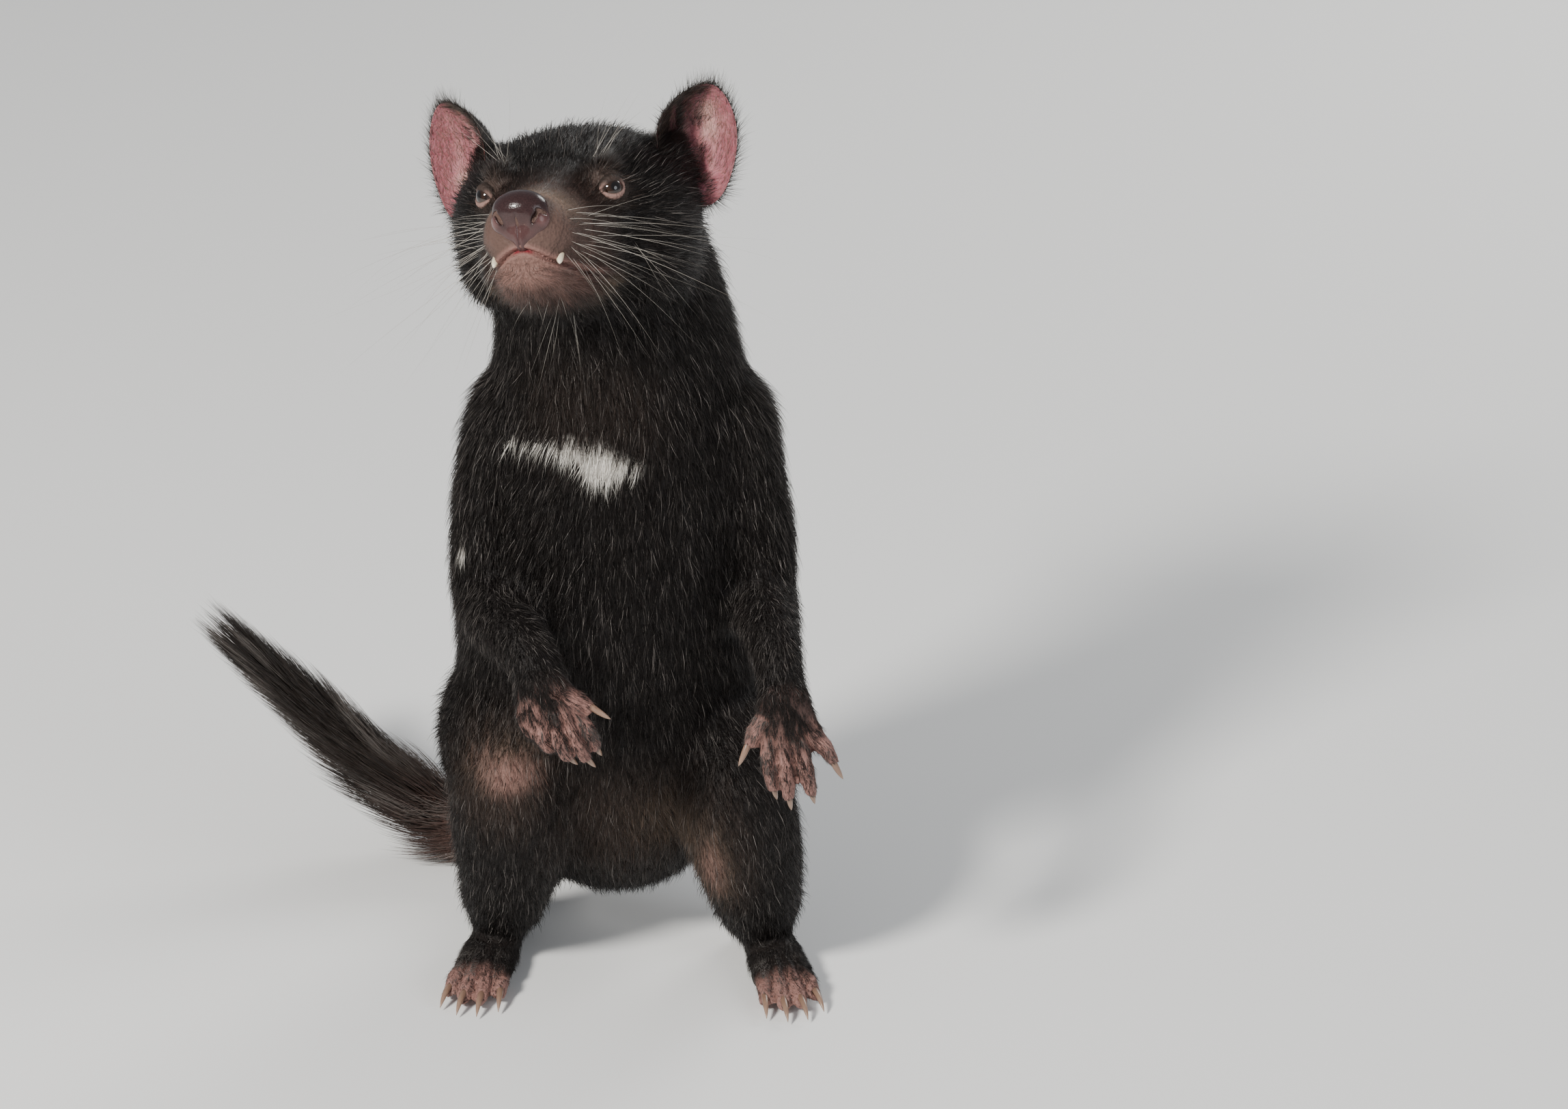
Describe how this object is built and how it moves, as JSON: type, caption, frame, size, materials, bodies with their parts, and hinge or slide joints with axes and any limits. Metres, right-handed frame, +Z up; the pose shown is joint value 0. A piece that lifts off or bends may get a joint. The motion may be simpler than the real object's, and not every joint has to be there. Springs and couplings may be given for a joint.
{
  "type": "tasmanian devil, standing model",
  "caption": "Life-size still model of a Tasmanian devil that stands upright on its hind legs, forepaws hanging and head raised.",
  "frame": {"origin": "on the floor, under the middle of the animal's box", "axes": "+Z up; the animal faces -Y, with its own left side at +X"},
  "size_m": [0.3512, 0.2864, 0.4898],
  "materials": {
    "coat": "short dense near-black fur with a white chest bar",
    "bare_skin": "bare pinkish brown skin",
    "wet_nose": "wet, glossy, dark brown",
    "eye": "wet, glossy, dark brown",
    "ivory": "off-white tooth",
    "horn": "tan claw horn"
  },
  "bodies": {
    "root": {"torso": "coat", "neck": "coat", "head": "coat", "ear_left": "bare_skin", "ear_right": "bare_skin", "eye_left": "eye", "eye_right": "eye", "nose": "wet_nose", "canine_left": "ivory", "canine_right": "ivory", "upper_arm_left": "coat", "upper_arm_right": "coat", "forearm_left": "coat", "forearm_right": "coat", "hand_left": "bare_skin", "hand_right": "bare_skin", "claw_hand_left_1": "horn", "claw_hand_left_2": "horn", "claw_hand_left_3": "horn", "claw_hand_left_4": "horn", "claw_hand_left_5": "horn", "claw_hand_right_1": "horn", "claw_hand_right_2": "horn", "claw_hand_right_3": "horn", "claw_hand_right_4": "horn", "claw_hand_right_5": "horn", "thigh_left": "coat", "thigh_right": "coat", "shank_left": "coat", "shank_right": "coat", "foot_left": "bare_skin", "foot_right": "bare_skin", "claw_foot_left_1": "horn", "claw_foot_left_2": "horn", "claw_foot_left_3": "horn", "claw_foot_left_4": "horn", "claw_foot_right_1": "horn", "claw_foot_right_2": "horn", "claw_foot_right_3": "horn", "claw_foot_right_4": "horn", "tail_base": "coat", "tail_middle": "coat", "tail_brush": "coat"}
  },
  "joints": []
}
